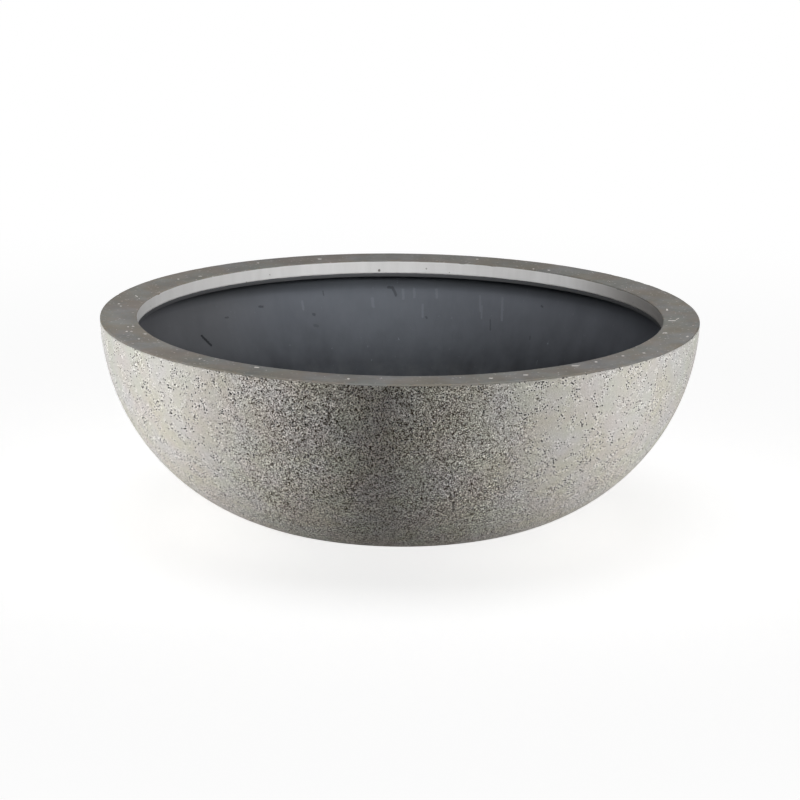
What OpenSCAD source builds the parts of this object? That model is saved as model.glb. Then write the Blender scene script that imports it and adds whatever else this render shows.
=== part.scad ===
// Low round bowl planter: a cast concrete facing, laminated and coated inside, with a turned-in rim.
// Millimetres. The origin is on the floor under the middle of the bowl, and +Z is up.

/* [Bowl] */
// Outer diameter at the rim
bowl_d = 600; // [480:5:630]
// Height from the floor to the rim's top face
bowl_h = 211; // [196:1:240]
// Diameter of the flat that the bowl stands on
base_d = 200; // [170:5:240]
// Lean of the wall from upright where it meets the rim, in degrees
rim_lean = 2; // [0:0.5:8]

/* [Wall layers] */
// Thickness of the cast concrete facing
facing_t = 4; // [3:0.5:6]
// Thickness of the glass-fibre laminate behind the wall
laminate_t = 5; // [3:0.5:8]
// Thickness of the laminate in the middle of the floor
floor_laminate_t = 6; // [4:0.5:10]
// Thickness of the dark waterproof coating
coating_t = 1; // [0.6:0.1:1.6]

/* [Rim] */
// Width of the rim's flat top face
rim_w = 37; // [30:1:50]
// Depth of the concrete lip round the mouth
lip_h = 13.6; // [10:0.2:24]
// Thickness of the laminate that closes the rim from below
rim_laminate_t = 2.8; // [2:0.2:6]
// Radius of the ground edges of the rim
edge_r = 1.2; // [0.6:0.1:2.4]
// Radius in the corner between the wall and the underside of the rim
under_rim_r = 7; // [3:0.5:12]

/* [Underside] */
// Diameter of the recess under the base, at its ceiling
recess_d = 124; // [90:2:140]
// Depth of the recess
recess_h = 3; // [2:0.5:6]
// Diameter of a floor pad
pad_d = 20; // [12:1:24]
// Thickness of a floor pad
pad_t = 2; // [1.5:0.5:4]
// Radius of a floor pad's lower edge
pad_edge_r = 0.8; // [0.4:0.1:1.4]

/* [Drain hole and plug] */
// Diameter of the drain hole
drain_d = 25; // [20:1:36]
// Gap between the hole and the plug's sealing ribs, on the radius
plug_gap = 0.05; // [0.02:0.01:0.1]
// How far the plug reaches out below the hole
plug_below = 2; // [1:0.5:4]
// How far the sealing ribs stand out of the shank
rib_out = 1; // [0.6:0.1:1.3]
// Number of sealing ribs
rib_count = 3; // [2:1:3]
// Wall of the hollow shank
shank_wall = 4; // [3:0.5:5]
// How far the flange covers the floor round the hole, on the radius
flange_over = 8; // [5:0.5:12]
// Thickness of the flange at its edge
flange_t = 2.4; // [1.6:0.2:4]
// Rise of the flange from its edge to the knob's neck
flange_rise = 1.6; // [0.8:0.2:3]
// Diameter of the finger knob
knob_d = 17; // [14:0.5:22]
// Diameter of the knob's neck
neck_d = 10; // [8:0.5:12]
// Height of the neck that the fingers reach under
neck_h = 5; // [4:0.5:10]
// Thickness of the knob
knob_t = 5; // [4:0.5:7]
// Radius of the fillets at both ends of the neck
neck_fillet_r = 1; // [0.4:0.1:1.6]
// Lead-in at the lower end of the shank
shank_lead = 1; // [0.5:0.1:1.5]

/* [Hidden] */
$fn = 180;
past = 1;                       // how far a cutting shape runs past what it cuts

bowl_r = bowl_d / 2;
base_r = base_d / 2;
mouth_r = bowl_r - rim_w;
base_z = pad_t;

// The wall is one arc from the edge of the base to the rim, leaning by rim_lean where it arrives.
run = bowl_r - base_r;
rise = bowl_h - base_z;
arc_r = (pow(run, 2) + pow(rise, 2)) / 2 / (run * cos(rim_lean) - rise * sin(rim_lean));
arc_x = bowl_r - arc_r * cos(rim_lean);
arc_z = bowl_h + arc_r * sin(rim_lean);

// Heights of the faces where one layer of the floor and the rim ends and the next begins
ceiling_z = base_z + recess_h;
facing_floor_z = ceiling_z + facing_t;
laminate_floor_z = facing_floor_z + floor_laminate_t;
floor_z = laminate_floor_z + coating_t;
lip_z = bowl_h - lip_h;
rim_under_z = lip_z - rim_laminate_t;

// How far the inner faces of the laminate and the coating lie behind the outside of the wall
laminate_in = facing_t + laminate_t;
coating_in = laminate_in + coating_t;

recess_r = recess_d / 2;
pad_ring_r = (recess_r + recess_h + base_r) / 2;

// The plug
rib_r = drain_d / 2 - plug_gap;
shank_r = rib_r - rib_out;
shank_z = ceiling_z - plug_below;
hollow_r = shank_r - shank_wall;
flange_r = drain_d / 2 + flange_over;
flange_edge_z = floor_z + flange_t;
neck_z = flange_edge_z + flange_rise;
knob_z = neck_z + neck_h;

// The half section inside the wall's arc, inset from it, between two heights.
module inside_wall(inset, bottom, top) {
    intersection() {
        band(0, bowl_r + past, bottom, top);
        union() {
            translate([arc_x, arc_z]) circle(arc_r - inset);
            band(arc_x - bowl_r, arc_x, bottom, top);
        }
    }
}

// What a rounded corner takes off the top of that section.
module corner_loss(inset, top, corner_r) {
    wall_r = arc_r - inset;
    z = top - corner_r;
    x = arc_x + sqrt(pow(wall_r - corner_r, 2) - pow(z - arc_z, 2));
    outward = [x - arc_x, z - arc_z] / (wall_r - corner_r);
    beyond = [x, z] + outward * 2 * corner_r;
    difference() {
        polygon([[x, z], [x, top + past], [beyond.x, top + past], beyond]);
        translate([x, z]) circle(corner_r);
    }
}

// A rectangle of the section between two radii and two heights.
module band(inner, outer, bottom, top) {
    translate([inner, bottom]) square([outer - inner, top - bottom]);
}

// The recess that lifts the middle of the base off the floor, with its faces moved out by grow.
module recess(grow) {
    top_r = recess_r + grow * (sqrt(2) - 1);
    low_r = top_r + recess_h + past;
    low_z = base_z + grow - past;
    polygon([[0, low_z], [low_r, low_z], [top_r, ceiling_z + grow], [0, ceiling_z + grow]]);
}

// The hollow that each layer leaves for the next one.
module facing_hollow() {
    difference() {
        inside_wall(facing_t, base_z + facing_t, bowl_h - facing_t);
        recess(facing_t);
    }
}

module laminate_hollow() {
    difference() {
        inside_wall(laminate_in, laminate_floor_z, rim_under_z);
        corner_loss(laminate_in, rim_under_z, under_rim_r);
    }
}

module coating_hollow() {
    difference() {
        inside_wall(coating_in, floor_z, rim_under_z - coating_t);
        corner_loss(coating_in, rim_under_z - coating_t, under_rim_r - coating_t);
    }
}

// Turns a layer's section round the bowl's axis and drills the drain hole through it.
module drilled_layer() {
    difference() {
        rotate_extrude() children();
        translate([0, 0, -past]) cylinder(d = drain_d, h = floor_z + 2 * past);
    }
}

module concrete_facing() {
    color([0.66, 0.64, 0.60]) drilled_layer() {
        difference() {
            inside_wall(0, base_z, bowl_h);
            corner_loss(0, bowl_h, edge_r);
            recess(0);
            facing_hollow();
            band(0, mouth_r, bowl_h - facing_t - past, bowl_h + past);
            difference() {
                band(mouth_r - past, mouth_r + edge_r, bowl_h - edge_r, bowl_h + past);
                translate([mouth_r + edge_r, bowl_h - edge_r]) circle(edge_r);
            }
        }
        band(mouth_r, mouth_r + facing_t, lip_z, bowl_h - edge_r);
    }
}

// The filler cast into the rim, behind the lip.
module rim_core() {
    color([0.55, 0.54, 0.52]) rotate_extrude() intersection() {
        facing_hollow();
        band(mouth_r + facing_t, bowl_r, lip_z, bowl_h);
    }
}

module fibre_laminate() {
    color([0.72, 0.72, 0.68]) drilled_layer() difference() {
        facing_hollow();
        laminate_hollow();
        band(mouth_r, bowl_r, lip_z, bowl_h);
        band(0, mouth_r + coating_t, rim_under_z - past, bowl_h);
    }
}

// The coating lines the laminate and turns up over its edge at the mouth.
module inner_coating() {
    color([0.15, 0.17, 0.21]) drilled_layer() {
        difference() {
            laminate_hollow();
            coating_hollow();
            band(0, mouth_r, rim_under_z - coating_t - past, bowl_h);
        }
        band(mouth_r, mouth_r + coating_t, rim_under_z - coating_t, lip_z);
    }
}

// The plug's shank with its sealing ribs, hollow from below.
module shank_section() {
    rib_pitch = (floor_z - ceiling_z) / (rib_count + 1);
    difference() {
        union() {
            polygon([[0, shank_z], [shank_r - shank_lead, shank_z],
                     [shank_r, shank_z + shank_lead], [shank_r, floor_z], [0, floor_z]]);
            for (i = [1 : rib_count])
                translate([shank_r, ceiling_z + i * rib_pitch]) circle(rib_out);
        }
        band(0, hollow_r, shank_z - past, floor_z - hollow_r);
        translate([0, floor_z - hollow_r]) circle(hollow_r);
    }
}

// The flange, rising from a round edge to the neck.
module flange_section() {
    edge_x = flange_r - flange_t / 2;
    band(0, edge_x, floor_z, flange_edge_z);
    translate([edge_x, floor_z + flange_t / 2]) circle(d = flange_t);
    polygon([[0, flange_edge_z], [edge_x, flange_edge_z],
             [neck_d / 2 + neck_fillet_r, neck_z], [0, neck_z]]);
}

// The neck with a fillet at each end, and the round-edged knob on it.
module knob_section() {
    edge_x = (knob_d - knob_t) / 2;
    fillet_x = neck_d / 2 + neck_fillet_r;
    difference() {
        band(0, fillet_x, neck_z, knob_z);
        band(neck_d / 2, fillet_x + past, neck_z + neck_fillet_r, knob_z - neck_fillet_r);
        for (z = [neck_z + neck_fillet_r, knob_z - neck_fillet_r])
            translate([fillet_x, z]) circle(neck_fillet_r);
    }
    band(0, edge_x, knob_z, knob_z + knob_t);
    translate([edge_x, knob_z + knob_t / 2]) circle(d = knob_t);
}

module drain_plug() {
    color([0.08, 0.08, 0.09]) rotate_extrude() {
        shank_section();
        flange_section();
        knob_section();
    }
}

// A floor pad on the middle of the ring that the bowl stands on.
module pad(turn) {
    flat_r = pad_d / 2 - pad_edge_r;
    color([0.10, 0.10, 0.11]) rotate([0, 0, turn]) translate([pad_ring_r, 0, 0]) rotate_extrude() {
        band(0, flat_r, 0, pad_t);
        band(0, pad_d / 2, pad_edge_r, pad_t);
        translate([flat_r, pad_edge_r]) circle(pad_edge_r);
    }
}

concrete_facing();
rim_core();
fibre_laminate();
inner_coating();
drain_plug();
pad(-90);  // pad_front
pad(0);  // pad_right
pad(90);  // pad_back
pad(180);  // pad_left
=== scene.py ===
# Concrete bowl planter: ground rim, sandy cast wall, dark coated inside. Metres, Z up, floor at 0.
import math
import random

import bpy
from mathutils import Matrix, Vector, noise


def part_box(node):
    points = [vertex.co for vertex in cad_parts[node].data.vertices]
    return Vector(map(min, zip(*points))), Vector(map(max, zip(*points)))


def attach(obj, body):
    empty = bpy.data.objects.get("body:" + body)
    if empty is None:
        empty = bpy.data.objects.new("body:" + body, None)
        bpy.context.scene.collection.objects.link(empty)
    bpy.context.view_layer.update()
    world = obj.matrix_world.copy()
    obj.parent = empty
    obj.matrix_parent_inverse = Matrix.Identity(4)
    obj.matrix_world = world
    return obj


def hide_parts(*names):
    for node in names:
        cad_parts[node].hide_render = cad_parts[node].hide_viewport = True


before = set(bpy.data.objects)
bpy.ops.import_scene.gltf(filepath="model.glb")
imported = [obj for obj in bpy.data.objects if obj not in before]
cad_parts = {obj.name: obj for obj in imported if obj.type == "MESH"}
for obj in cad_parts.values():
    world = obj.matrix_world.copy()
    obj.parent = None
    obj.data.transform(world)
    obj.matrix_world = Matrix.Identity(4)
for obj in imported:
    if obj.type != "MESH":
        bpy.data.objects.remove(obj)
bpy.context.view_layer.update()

# The bowl's own sizes, as in its construction. Its heights come from the frame.
bowl = {
    "rimRadius": 0.300,
    "baseRadius": 0.100,
    "rimWidth": 0.037,
    "rimLean": math.radians(2),
    "facing": 0.004,
    "laminate": 0.005,
    "coating": 0.001,
    "rimLaminate": 0.0028,
    "underRimRadius": 0.007,
    "recessRadius": 0.062,
    "recessDepth": 0.003,
    "drainRadius": 0.0125,
    "plugFlange": 0.0205,
}
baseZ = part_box("concrete_facing")[0].z
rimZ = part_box("concrete_facing")[1].z
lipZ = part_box("fibre_laminate")[1].z
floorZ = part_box("inner_coating")[0].z + bowl["coating"]
underRimZ = lipZ - bowl["rimLaminate"] - bowl["coating"]
ceilingZ = baseZ + bowl["recessDepth"]
mouthRadius = bowl["rimRadius"] - bowl["rimWidth"]
coatingInset = bowl["facing"] + bowl["laminate"] + bowl["coating"]

# The wall is one arc from the edge of the base to the rim.
run, rise = bowl["rimRadius"] - bowl["baseRadius"], rimZ - baseZ
lean = bowl["rimLean"]
arcRadius = (run ** 2 + rise ** 2) / 2 / (run * math.cos(lean) - rise * math.sin(lean))
arcX = bowl["rimRadius"] - arcRadius * math.cos(lean)
arcZ = rimZ + arcRadius * math.sin(lean)


def wallRadius(z, inset=0.0):
    return arcX + math.sqrt((arcRadius - inset) ** 2 - (z - arcZ) ** 2)


def wallRows(inset, low, high, steps, part):
    # rows of a half section, up the wall and evenly along its arc: each has its part, a radius and a height
    reach = arcRadius - inset
    start, end = (math.asin((z - arcZ) / reach) for z in (low, high))
    turns = [start + (end - start) * i / steps for i in range(steps + 1)]
    return [(part, arcX + reach * math.cos(turn), arcZ + reach * math.sin(turn)) for turn in turns]


def flatRows(startRadius, endRadius, z, steps, part):
    return [(part, startRadius + (endRadius - startRadius) * i / steps, z) for i in range(steps + 1)]


def cornerRows(part, steps):  # turns of a rounded edge, in degrees, instead of radii
    return [(part, 90 * i / steps, 0) for i in range(steps + 1)]


def swell(x, y, z, size):  # smooth unevenness, about -1 to 1
    return noise.noise(Vector((x, y, z)) / size)


def turnedMesh(name, rows, columns, place, materials):
    # rows go round the closed half section; place gives a row's radius and height at an angle;
    # materials maps a row's part to the material of the band above it
    points, faces, slots = [], [], []
    names = sorted(set(materials.values()))
    for column in range(columns):
        angle = 2 * math.pi * column / columns
        for row in rows:
            radius, z = place(row, angle)
            points.append((radius * math.cos(angle), radius * math.sin(angle), z))
    count = len(rows)
    for column in range(columns):
        here, there = column * count, (column + 1) % columns * count
        for i in range(count):
            j = (i + 1) % count
            faces.append((here + i, there + i, there + j, here + j))
            slots.append(names.index(materials[rows[i][0]]))
    return smoothMesh(name, points, faces, slots, [bpy.data.materials[material] for material in names])


def newMesh(name, points, faces, materials):
    mesh = bpy.data.meshes.new(name)
    mesh.from_pydata(points, [], faces)
    for material in materials:
        mesh.materials.append(material)
    return mesh


def smoothMesh(name, points, faces, slots, materials):
    mesh = newMesh(name, points, faces, materials)
    mesh.polygons.foreach_set("material_index", slots)
    mesh.polygons.foreach_set("use_smooth", [True] * len(faces))
    return mesh


def newObject(name, data):
    made = bpy.data.objects.new(name, data)
    bpy.context.scene.collection.objects.link(made)
    return made


def addPiece(name, mesh, body, slot, *nodes):
    piece = newObject(name, mesh)
    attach(piece, body)
    if nodes:
        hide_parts(*nodes)
    return piece


def feed(tree, socket, value):  # here and below, a value is a constant or the output of another node
    if isinstance(value, bpy.types.NodeSocket):
        tree.links.new(value, socket)
    else:
        socket.default_value = value


def addNode(tree, kind, values=None, **settings):
    made = tree.nodes.new("ShaderNode" + kind)
    for key, value in settings.items():
        setattr(made, key, value)
    for key, value in (values or {}).items():
        feed(tree, made.inputs[key], value)
    return made


def calc(tree, operation, *values, clamp=False):
    return addNode(tree, "Math", dict(enumerate(values)), operation=operation, use_clamp=clamp).outputs[0]


def times(tree, first, second):
    return calc(tree, "MULTIPLY", first, second)


def vectorCalc(tree, operation, values, output=0):
    return addNode(tree, "VectorMath", values, operation=operation).outputs[output]


def axes(tree, vector):  # its x, y and z
    return addNode(tree, "SeparateXYZ", {0: vector}).outputs


def noiseTexture(tree, vector, scale, detail, **values):
    values = {"Vector": vector, "Scale": scale, "Detail": detail, **values}
    return addNode(tree, "TexNoise", values).outputs[0]


def blend(tree, factor, first, second, mode="MIX"):
    values = {0: factor, 6: first, 7: second}  # 6 and 7 take colours
    return addNode(tree, "Mix", values, data_type="RGBA", blend_type=mode).outputs[2]


def tint(tree, share, skin, shade):  # the skin times a shade
    return blend(tree, share, skin, shade, "MULTIPLY")


def remap(tree, value, low, high, newLow=0.0, newHigh=1.0, way="LINEAR"):
    values = {"Value": value, "From Min": low, "From Max": high, "To Min": newLow, "To Max": newHigh}
    return addNode(tree, "MapRange", values, interpolation_type=way).outputs[0]


def stretch(tree, vector, size, squash=(1, 1, 1)):  # position in units of size
    scaled = vectorCalc(tree, "MULTIPLY", {0: vector, 1: squash})
    return vectorCalc(tree, "SCALE", {0: scaled, "Scale": calc(tree, "DIVIDE", 1.0, size)})


def startGroup(name, inputs, outputs):
    group = bpy.data.node_groups.new(name, "ShaderNodeTree")
    for label, kind, default in inputs:
        socket = group.interface.new_socket(name=label, in_out="INPUT", socket_type="NodeSocket" + kind)
        if default is not None:
            socket.default_value = default
    for label, kind in outputs.items():
        group.interface.new_socket(name=label, in_out="OUTPUT", socket_type="NodeSocket" + kind)
    return group, group.nodes.new("NodeGroupInput").outputs, group.nodes.new("NodeGroupOutput").inputs


def useGroup(tree, name, values):
    return addNode(tree, "Group", values, node_tree=bpy.data.node_groups[name]).outputs


def colour(grey, warmth=0.0):  # sRGB 0 to 255, warmer or cooler, as linear values
    def linear(value):
        value = max(value, 0) / 255
        return value / 12.92 if value <= 0.04045 else ((value + 0.055) / 1.055) ** 2.4
    return (linear(grey + warmth), linear(grey), linear(grey - warmth), 1.0)


# Effects that several materials share. Here and below, a ramp is a tuple of from, to and the values there,
# which are 0 and 1 where they aren't given.
effects = {
    "lowestGrain": 0.2,
    "patchDetail": 3.0,
    "patchRoughness": 0.55,
    "poreEdge": (0.34, 0.29),
    "bloomEdge": (0.56, 0.48),
    "dustFacing": (0.5, 1.0),
    "dustPatches": (0.42, 0.72),
    "dustDetail": 5.0,
    "dustRoughness": 0.7,
    "markNoise": 700.0,
    "markReach": (0.3, 0.7, 0.4, 0.7),
    "markEdge": (1.15, 0.75),
    "fineDetail": 2.0,
}


def makeSandGrain():  # grains of sand in cement: a shade for each grain, its height and its tilted face
    tree, given, result = startGroup(
        "sandGrain", [("Position", "Vector", None), ("Grain Size", "Float", 0.0013), ("Tilt", "Float", 0.5)],
        {"Shade": "Float", "Height": "Float", "Normal": "Vector"})
    scaled = stretch(tree, given["Position"], given["Grain Size"])
    grains = addNode(tree, "TexVoronoi", {"Vector": scaled, "Scale": 1.0, "Randomness": 1.0}).outputs
    chance = addNode(tree, "TexWhiteNoise", {"Vector": grains["Position"]}, noise_dimensions="3D").outputs
    parts = addNode(tree, "SeparateColor", {"Color": chance["Color"]}).outputs
    dome = calc(tree, "SUBTRACT", 1.0, grains["Distance"], clamp=True)
    tall = calc(tree, "MULTIPLY_ADD", parts[1], 1 - effects["lowestGrain"], effects["lowestGrain"])
    sideways = vectorCalc(tree, "SUBTRACT", {0: grains["Color"], 1: (0.5, 0.5, 0.5)})
    sideways = vectorCalc(tree, "SCALE", {0: sideways, "Scale": given["Tilt"]})
    facing = vectorCalc(tree, "ADD", {0: addNode(tree, "NewGeometry").outputs["Normal"], 1: sideways})
    tree.links.new(vectorCalc(tree, "NORMALIZE", {0: facing}), result["Normal"])
    tree.links.new(parts[0], result["Shade"])
    tree.links.new(times(tree, dome, tall), result["Height"])


def makeMottle():  # soft patches, 0 to 1, cut from a noise round 0.5
    tree, given, result = startGroup(
        "mottle", [("Position", "Vector", None), ("Patch Size", "Float", 0.05), ("Spread", "Float", 0.2),
                   ("Seed", "Float", 0.0)], {"Mask": "Float"})
    scaled = stretch(tree, given["Position"], given["Patch Size"])
    values = {"Vector": scaled, "W": given["Seed"], "Scale": 1.0, "Detail": effects["patchDetail"],
              "Roughness": effects["patchRoughness"]}
    cloud = addNode(tree, "TexNoise", values, noise_dimensions="4D").outputs[0]
    low = calc(tree, "SUBTRACT", 0.5, given["Spread"])
    high = calc(tree, "ADD", 0.5, given["Spread"])
    tree.links.new(remap(tree, cloud, low, high), result["Mask"])


def makePores():  # sparse dark pinholes: 1 in a pore, and 1 where a pale bloom lies in it and round it
    tree, given, result = startGroup(
        "pores", [("Position", "Vector", None), ("Spacing", "Float", 0.006), ("Share", "Float", 0.3)],
        {"Mask": "Float", "Bloom": "Float"})
    scaled = stretch(tree, given["Position"], given["Spacing"])
    cells = addNode(tree, "TexVoronoi", {"Vector": scaled, "Scale": 1.0}).outputs
    chance = addNode(tree, "SeparateColor", {"Color": cells["Color"]}).outputs[0]
    chosen = calc(tree, "LESS_THAN", chance, given["Share"])
    for output, edge in (("Mask", "poreEdge"), ("Bloom", "bloomEdge")):
        within = remap(tree, cells["Distance"], *effects[edge])
        tree.links.new(times(tree, within, chosen), result[output])


def makeDust():  # dust that settles on what faces up
    tree, given, result = startGroup(
        "settledDust", [("Position", "Vector", None), ("Patch Size", "Float", 0.02)], {"Mask": "Float"})
    up = axes(tree, addNode(tree, "NewGeometry").outputs["Normal"])[2]
    scaled = stretch(tree, given["Position"], given["Patch Size"])
    cloud = noiseTexture(tree, scaled, 1.0, effects["dustDetail"], Roughness=effects["dustRoughness"])
    lies = remap(tree, up, *effects["dustFacing"])
    patchy = remap(tree, cloud, *effects["dustPatches"])
    tree.links.new(times(tree, lies, patchy), result["Mask"])


def makeShortMark():  # 1 within about half a width of the line from start to end, with a rough edge
    tree, given, result = startGroup(
        "shortMark", [("Position", "Vector", None), ("Start", "Vector", None), ("End", "Vector", None),
                      ("Width", "Float", 0.002)], {"Mask": "Float"})
    line = vectorCalc(tree, "SUBTRACT", {0: given["End"], 1: given["Start"]})
    arm = vectorCalc(tree, "SUBTRACT", {0: given["Position"], 1: given["Start"]})
    along = vectorCalc(tree, "DOT_PRODUCT", {0: arm, 1: line}, "Value")
    full = vectorCalc(tree, "DOT_PRODUCT", {0: line, 1: line}, "Value")
    share = calc(tree, "DIVIDE", along, full, clamp=True)
    onLine = vectorCalc(tree, "SCALE", {0: line, "Scale": share})
    away = vectorCalc(tree, "DISTANCE", {0: arm, 1: onLine}, "Value")
    rough = noiseTexture(tree, given["Position"], effects["markNoise"], effects["fineDetail"])
    reach = times(tree, given["Width"], remap(tree, rough, *effects["markReach"]))
    near = calc(tree, "DIVIDE", away, reach)
    tree.links.new(remap(tree, near, *effects["markEdge"]), result["Mask"])


def startMaterial(name):
    material = bpy.data.materials.new(name)
    material.use_nodes = True
    tree = material.node_tree
    return tree, addNode(tree, "TexCoord").outputs["Object"]


def dress(tree, values):  # feeds the material's own shader
    for key, value in values.items():
        feed(tree, tree.nodes["Principled BSDF"].inputs[key], value)


def mottle(tree, position, patchSize, spread, seed=0.0):
    values = {"Position": position, "Patch Size": patchSize, "Spread": spread, "Seed": seed}
    return useGroup(tree, "mottle", values)["Mask"]


def sand(tree, position, size, tilt=0.5):
    return useGroup(tree, "sandGrain", {"Position": position, "Grain Size": size, "Tilt": tilt})


def pinholes(tree, position, spacing, share):
    return useGroup(tree, "pores", {"Position": position, "Spacing": spacing, "Share": share})


def dustMask(tree, position, patchSize):
    return useGroup(tree, "settledDust", {"Position": position, "Patch Size": patchSize})["Mask"]


def bump(tree, height, strength, depth, **values):
    values = {"Height": height, "Strength": strength, "Distance": depth, **values}
    return addNode(tree, "Bump", values).outputs[0]


def onWall(inset, degrees, z):  # a place on the wall, by its angle and its height
    radius, angle = wallRadius(z, inset), math.radians(degrees)
    return radius * math.cos(angle), radius * math.sin(angle), z


def shortMark(tree, position, start, end, width):
    values = {"Position": position, "Start": start, "End": end, "Width": width}
    return useGroup(tree, "shortMark", values)["Mask"]


def shortMarks(tree, position, inset, marks):
    # the strongest of several marks, each with start angle and height, end angle and height, width, strength
    mask = 0.0
    for startAngle, startHeight, endAngle, endHeight, width, strength in marks:
        start, end = onWall(inset, startAngle, startHeight), onWall(inset, endAngle, endHeight)
        mark = times(tree, shortMark(tree, position, start, end, width), strength)
        mask = calc(tree, "MAXIMUM", mask, mark)
    return mask


# Materials. Patches are given as their size, their spread and, where there is one, their seed.
# A bump is given as its strength and its depth.
sandyWall = {
    "paste": colour(200, 3),
    "dark": colour(50, 14),
    "light": colour(246, 3),
    "pore": colour(18, 4),
    # painted shade: the wall darker and cooler toward its left and right ends
    "ends": (0.76, 0.775, 0.80, 1),
    "endsRamp": (0.225, 0.285),  # from the middle to the left or right
    # more bare sand toward the front, darker and more speckled there: real sand, and painted shade
    "paintedShadeToward": (-0.09, -0.996, 0),
    "paintedShadeRamp": (0.78, 1.0, 0, 0.85),  # over how far a place faces that way
    "paintedShadeLess": (0.14, 0.20, 0, 0.03),  # over the height
    "footRamp": (0.12, 0.03, 0, 0.5),  # over the height
    "fields": (0.09, 0.16),
    "clusters": (0.011, 0.09, 5.0),
    "clusterShare": (0.35, 0.18),  # in the fields, and added everywhere
    "covered": 0.07,
    "patches": (0.03, 0.2),
    "patchShare": (0.7, 1.1),
    "grain": 0.0009,
    "tilt": 1.0,
    "darkShare": 0.47,
    "lightShare": 0.49,
    "grainEdge": (0.03, -0.15),
    # greenish and pinkish patches: shade, share, and size with spread and seed
    "tints": [((0.95, 1.0, 0.84, 1), 0.55, (0.035, 0.12)), ((1.0, 0.94, 0.90, 1), 0.75, (0.045, 0.12, 7.0))],
    "poreSpacing": 0.0030,
    "poreShare": (0.3, 1, 0.01, 1.2),  # over the clusters
    "poresInPaintedShade": (0, 0.6, 1, 0.25),  # over the painted shade toward the front
    "bloom": 0.5,
    "scratches": [(-78.9, 0.0935, -75.9, 0.0608, 0.0013, 0.75), (-77.8, 0.0820, -77.2, 0.0700, 0.0022, 0.6)],
    "bump": (1.0, 0.0003),
    "roughness": (0.82, 0.98),
    "gloss": 0.15,
}


def makeSandyWall():  # sand that shows through a cement skin, most low down and toward the front, where the extra sand is painted shade
    look = sandyWall
    tree, position = startMaterial("sandyWall")
    place = axes(tree, position)
    around = vectorCalc(tree, "NORMALIZE", {0: vectorCalc(tree, "MULTIPLY", {0: position, 1: (1, 1, 0)})})
    # more sand toward the front: painted shade that darkens the front and strengthens its speckle
    toward = vectorCalc(tree, "DOT_PRODUCT", {0: around, 1: look["paintedShadeToward"]}, "Value")
    toward = calc(tree, "SUBTRACT", toward, remap(tree, place[2], *look["paintedShadeLess"]))
    worn = remap(tree, toward, *look["paintedShadeRamp"], way="SMOOTHSTEP")
    low = remap(tree, place[2], *look["footRamp"])
    clusters = mottle(tree, position, *look["clusters"])
    fields = mottle(tree, position, *look["fields"])
    spread = times(tree, clusters, calc(tree, "MULTIPLY_ADD", fields, *look["clusterShare"]))
    shown = calc(tree, "ADD", worn, calc(tree, "ADD", spread, low), clamp=True)
    patches = remap(tree, mottle(tree, position, *look["patches"]), 0, 1, *look["patchShare"])
    bare = times(tree, remap(tree, shown, 0, 1, look["covered"], 1), patches)
    grain = sand(tree, position, look["grain"], times(tree, bare, look["tilt"]))
    inner, outer = look["grainEdge"]
    darkFrom = times(tree, bare, look["darkShare"])
    lightFrom = calc(tree, "SUBTRACT", 1.0, times(tree, bare, look["lightShare"]))
    darkGrains = remap(tree, calc(tree, "SUBTRACT", grain["Shade"], darkFrom), inner, outer)
    lightGrains = remap(tree, calc(tree, "SUBTRACT", grain["Shade"], lightFrom), -inner, -outer)
    skin = blend(tree, darkGrains, look["paste"], look["dark"])
    skin = blend(tree, lightGrains, skin, look["light"])
    for shade, share, tinted in look["tints"]:
        skin = tint(tree, times(tree, mottle(tree, position, *tinted), share), skin, shade)
    # painted shade toward the left and right ends
    across = calc(tree, "ABSOLUTE", place[0])
    skin = tint(tree, remap(tree, across, *look["endsRamp"]), skin, look["ends"])
    poreShare = times(tree, remap(tree, clusters, *look["poreShare"]), remap(tree, worn, *look["poresInPaintedShade"]))
    pores = pinholes(tree, position, look["poreSpacing"], poreShare)
    skin = blend(tree, times(tree, pores["Bloom"], look["bloom"]), skin, look["light"])
    skin = blend(tree, pores["Mask"], skin, look["pore"])
    scratches = shortMarks(tree, position, 0.0, look["scratches"])
    skin = blend(tree, scratches, skin, look["pore"])
    height = calc(tree, "SUBTRACT", grain["Height"], calc(tree, "MAXIMUM", pores["Mask"], scratches))
    dress(tree, {"Base Color": skin, "Roughness": remap(tree, grain["Shade"], 0, 1, *look["roughness"]),
                 "Normal": bump(tree, height, *look["bump"], Normal=grain["Normal"]),
                 "Specular IOR Level": look["gloss"]})


groundRim = {
    "paste": colour(125, 1),
    "dark": colour(109, 1),
    "brown": colour(113, 9),
    "red": colour(118, 18),
    "pale": colour(165, 4),
    "green": (0.97, 1.0, 0.93, 1),
    # painted light and painted shade: lighter at the left and right, darker at the front
    "paintedSideLight": (1.30, 1.29, 1.28, 1),
    "paintedFrontShade": (0.84, 0.85, 0.86, 1),
    "leftRamp": (-0.14, -0.28),
    "rightRamp": (0.16, 0.28, 0, 0.4),
    "frontRamp": (-0.1, -0.26),
    "patches": (0.03, 0.2),
    "patchShare": 0.8,
    "spots": (0.04, 0.08, 3.0),
    "spotShare": 0.7,
    "greenPatches": (0.05, 0.1, 9.0),
    "grain": 0.0016,
    "redGrains": (0.95, 0.98, 0, 0.5),  # over the shade of a grain
    "paleGrains": (0.03, 0.01, 0, 0.6),
    "grainHeight": 0.4,
    "bump": (0.35, 0.0004),
    "roughness": (0.62, 0.8),
    "gloss": 0.2,
}


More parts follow.
